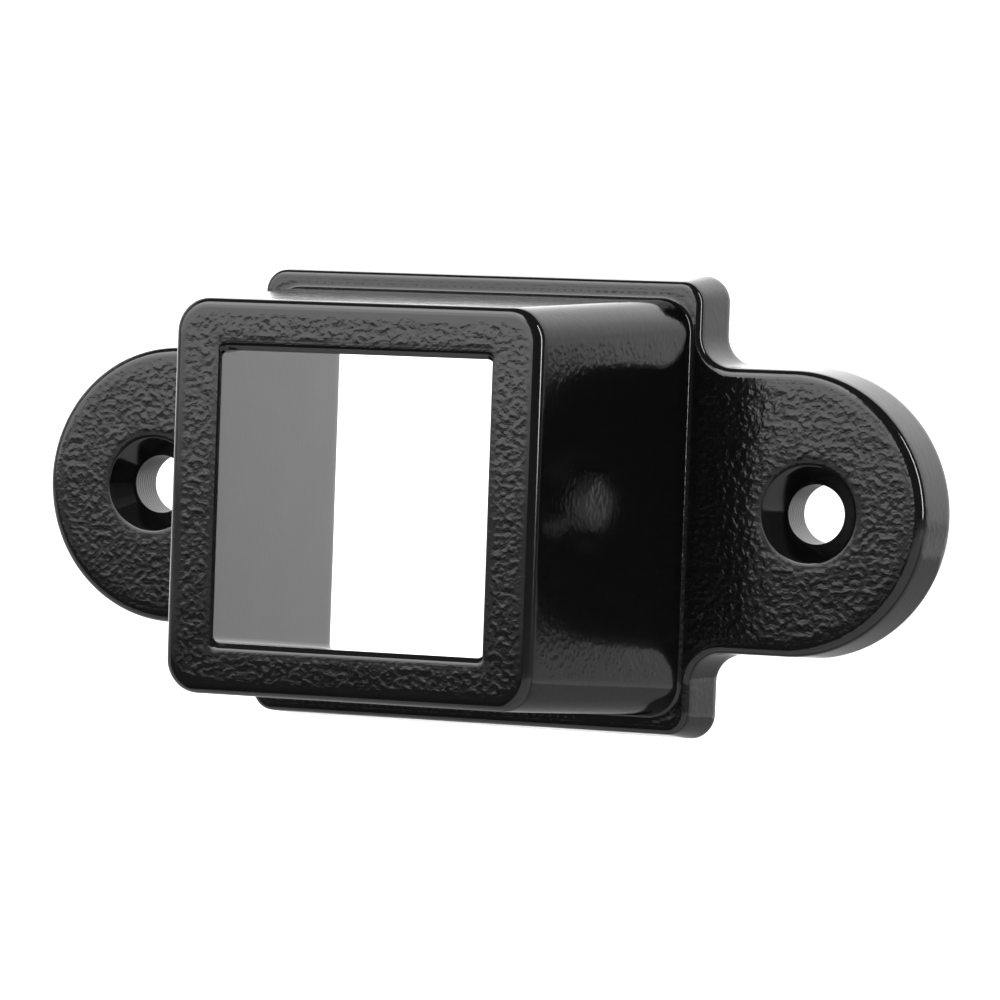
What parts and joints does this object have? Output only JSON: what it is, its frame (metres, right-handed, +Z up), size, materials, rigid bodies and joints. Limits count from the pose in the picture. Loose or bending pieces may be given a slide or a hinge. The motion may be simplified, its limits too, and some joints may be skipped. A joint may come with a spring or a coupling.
{
  "type": "square rail end bracket",
  "caption": "Cast bracket that fixes the end of a square rail to a wall, post or door: a flared through socket on a flange with countersunk ears.",
  "frame": {"origin": "centre of the flange's back face, halfway between the two screw holes", "axes": "+X along the ears, +Z up, and -Y out of the back face through the socket to its mouth"},
  "size_m": [0.0884, 0.034, 0.0426],
  "materials": {
    "enamelled_casting": "glossy black hammertone enamel over a metal casting; the screw holes' walls are bare metal"
  },
  "bodies": {
    "root": {"rail_socket": "enamelled_casting", "flange_plate": "enamelled_casting", "left_ear": "enamelled_casting", "right_ear": "enamelled_casting"}
  },
  "joints": []
}
